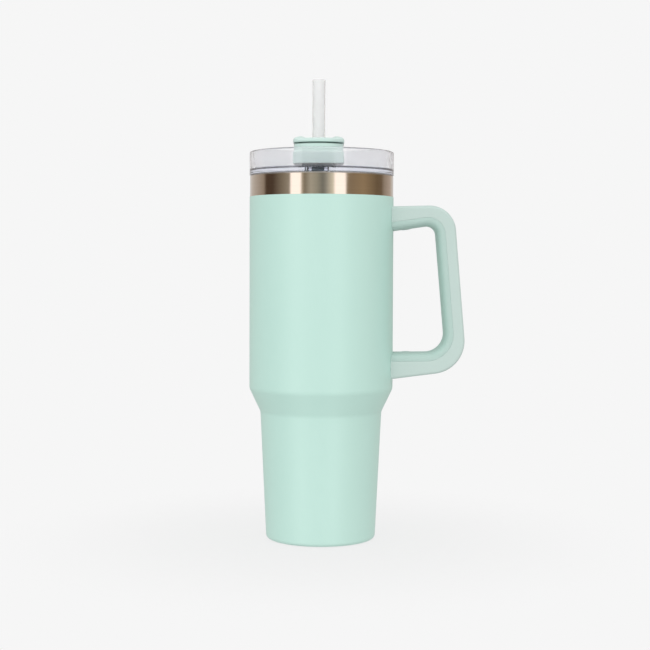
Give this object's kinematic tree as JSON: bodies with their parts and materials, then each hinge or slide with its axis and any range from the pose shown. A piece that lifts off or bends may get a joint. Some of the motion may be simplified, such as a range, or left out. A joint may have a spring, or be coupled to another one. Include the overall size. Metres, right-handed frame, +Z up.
{
  "type": "insulated travel mug",
  "caption": "Tall double-wall insulated travel mug with a side handle, stepped narrow base, clear lid with a turning cover, and a drinking straw.",
  "frame": {"origin": "centre of the flat base, on the cup's axis, at the face it stands on", "axes": "+Z up along the cup's axis, +X towards the handle, -Y towards the side shown from the front"},
  "size_m": [0.1494, 0.1, 0.3195],
  "materials": {
    "steel": "fine brushed, slightly warm",
    "coating": "matt powder coating with a fine grain",
    "foil": "bright copper foil",
    "seal_glass": "dark solder glass",
    "handle_plastic": "matt moulded",
    "grip_rubber": "soft touch",
    "screw_steel": "plain machined",
    "clear_plastic": "clear polished",
    "seal_silicone": "translucent white silicone",
    "cover_plastic": "satin moulded",
    "straw_plastic": "frosted clear"
  },
  "bodies": {
    "mug": {"outer_shell": "steel", "powder_coat": "coating", "inner_liner": "steel", "copper_wrap": "foil", "outer_base": "steel", "seal_bead": "seal_glass", "getter": "steel", "base_cover": "steel", "handle_frame": "handle_plastic", "handle_grip": "grip_rubber", "upper_bracket": "steel", "lower_bracket": "steel", "handle_screws": "screw_steel", "screw_plugs": "grip_rubber"},
    "lid": {"lid_body": "clear_plastic", "lid_gasket": "seal_silicone"},
    "cover": {"cover_body": "cover_plastic", "cover_cap": "cover_plastic", "straw_grommet": "seal_silicone", "cover_retainer": "clear_plastic", "pivot_seal": "seal_silicone", "drink_seal": "seal_silicone"},
    "straw": {"straw": "straw_plastic"}
  },
  "joints": [
    {"name": "lid_lift", "type": "slide", "parent": "mug", "child": "lid", "axis": [0, 0, 1], "range_m": [0, 0.06]},
    {"name": "cover_turn", "type": "hinge", "parent": "lid", "child": "cover", "pos_m": [-0.0021, 0, 0.2575], "axis": [0, 0, 1], "range_deg": [0, 90]},
    {"name": "straw_pull", "type": "slide", "parent": "cover", "child": "straw", "axis": [0, 0, 1], "range_m": [0, 0.275]}
  ]
}
